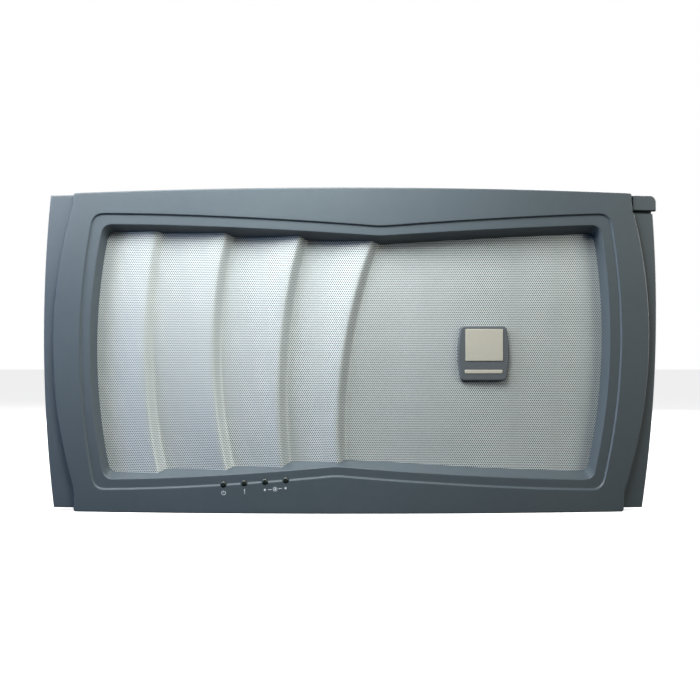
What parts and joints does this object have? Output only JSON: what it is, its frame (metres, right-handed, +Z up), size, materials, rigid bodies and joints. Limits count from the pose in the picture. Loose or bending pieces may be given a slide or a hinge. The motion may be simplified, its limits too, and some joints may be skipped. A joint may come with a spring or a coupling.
{
  "type": "server front bezel",
  "caption": "Bowed plastic rack server front bezel with a folded perforated metal grille, a blank badge, status light pipes and rear ball-stud sockets.",
  "frame": {"origin": "middle of the footprint, on the base plane: halfway across the width and between the front's foremost point and the rear rim", "axes": "+X to the right as seen from the front, +Y from the front to the rear rim, +Z up"},
  "size_m": [0.4936, 0.044, 0.2575],
  "materials": {
    "frame_plastic": "fine grained slate grey",
    "perforated_steel": "silver paint on perforated sheet",
    "badge_plastic": "satin slate grey",
    "badge_metal": "satin, warm silver",
    "pipe_plastic": "smoked, glossy",
    "carrier_plastic": "plain black",
    "socket_plastic": "natural acetal",
    "fastener_steel": "zinc plated"
  },
  "bodies": {
    "root": {"bezel_frame": "frame_plastic", "mesh_grille": "perforated_steel", "grille_washers": "fastener_steel", "grille_screws": "fastener_steel", "badge_plaque": "badge_plastic", "badge_inlay": "badge_metal", "badge_bar": "badge_metal", "badge_push_nuts": "fastener_steel", "label_tab": "frame_plastic", "light_pipe_1": "pipe_plastic", "light_pipe_2": "pipe_plastic", "light_pipe_3": "pipe_plastic", "light_pipe_4": "pipe_plastic", "light_pipe_carrier": "carrier_plastic", "carrier_screws": "fastener_steel", "ball_socket_lower_left": "socket_plastic", "ball_socket_lower_right": "socket_plastic", "ball_socket_upper_left": "socket_plastic", "ball_socket_upper_right": "socket_plastic", "socket_screws": "fastener_steel"}
  },
  "joints": []
}
